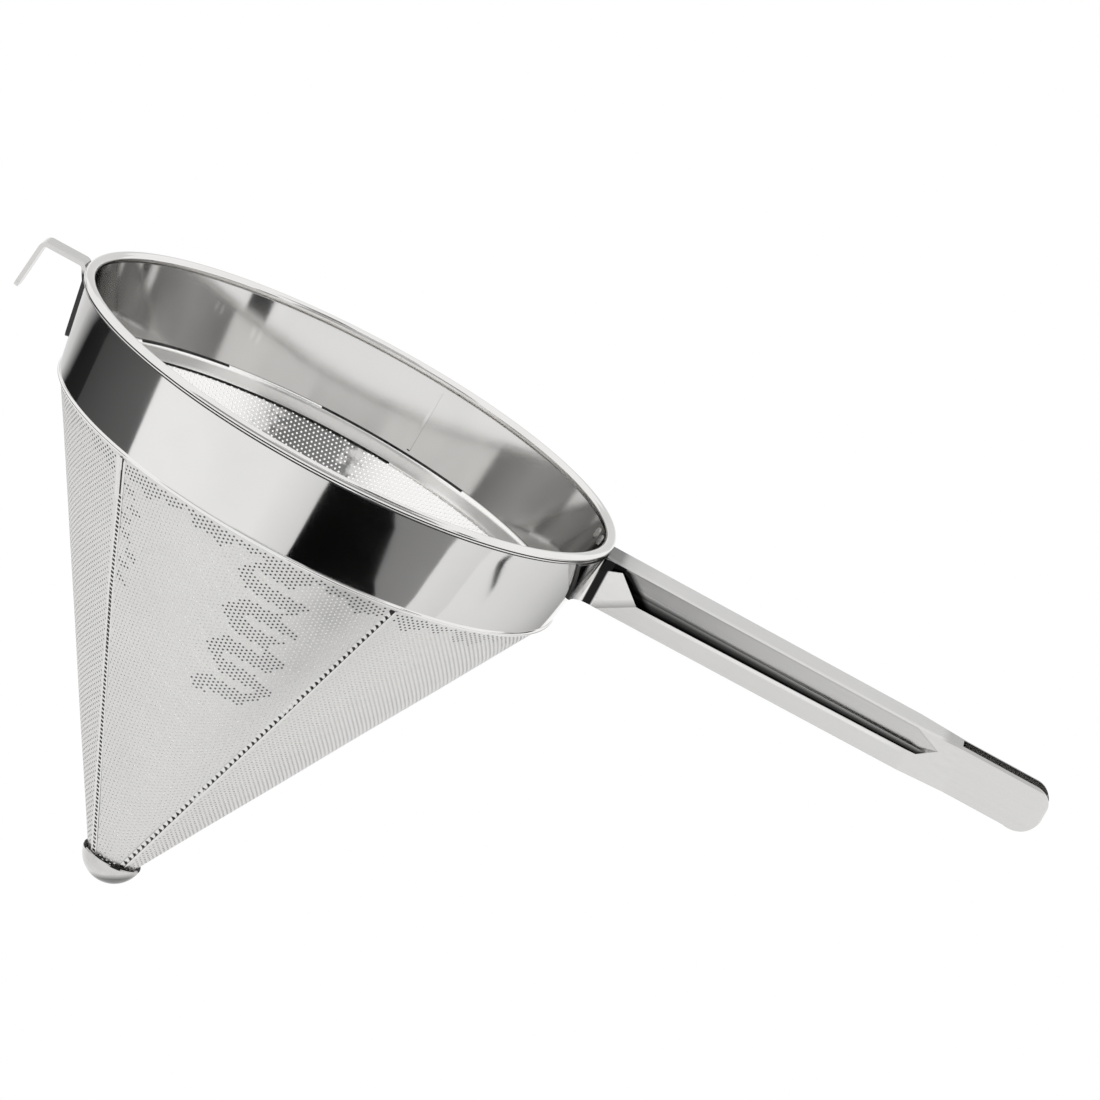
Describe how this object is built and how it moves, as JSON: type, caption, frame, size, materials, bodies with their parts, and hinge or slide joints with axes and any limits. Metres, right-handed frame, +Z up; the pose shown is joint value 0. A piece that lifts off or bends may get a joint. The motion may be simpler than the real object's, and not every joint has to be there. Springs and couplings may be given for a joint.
{
  "type": "chinois strainer",
  "caption": "Conical fine-perforated metal strainer with a polished tapered band, rolled wire rim, folded gore seams, domed tip cap, hollow sheet handle and a rest hook.",
  "frame": {"origin": "centre of the rim plane, on the cone's axis", "axes": "+Z up along the cone's axis out of the mouth, +X along the handle away from the rim, +Y across the mouth"},
  "size_m": [0.4672, 0.24, 0.2298],
  "materials": {
    "polished_steel": "mirror polished",
    "perforated_steel": "fine perforated, semi-bright",
    "sheet_steel": "bright satin"
  },
  "bodies": {
    "root": {"band": "polished_steel", "rim_wire": "polished_steel", "clamp_ring": "polished_steel", "band_weld": "polished_steel", "gore_1": "perforated_steel", "gore_2": "perforated_steel", "gore_3": "perforated_steel", "gore_4": "perforated_steel", "gore_5": "perforated_steel", "tip_cap": "sheet_steel", "handle": "sheet_steel", "hook": "sheet_steel", "handle_spot_1": "polished_steel", "handle_spot_2": "polished_steel", "handle_spot_3": "polished_steel", "handle_spot_4": "polished_steel", "hook_spot_1": "polished_steel", "hook_spot_2": "polished_steel"}
  },
  "joints": []
}
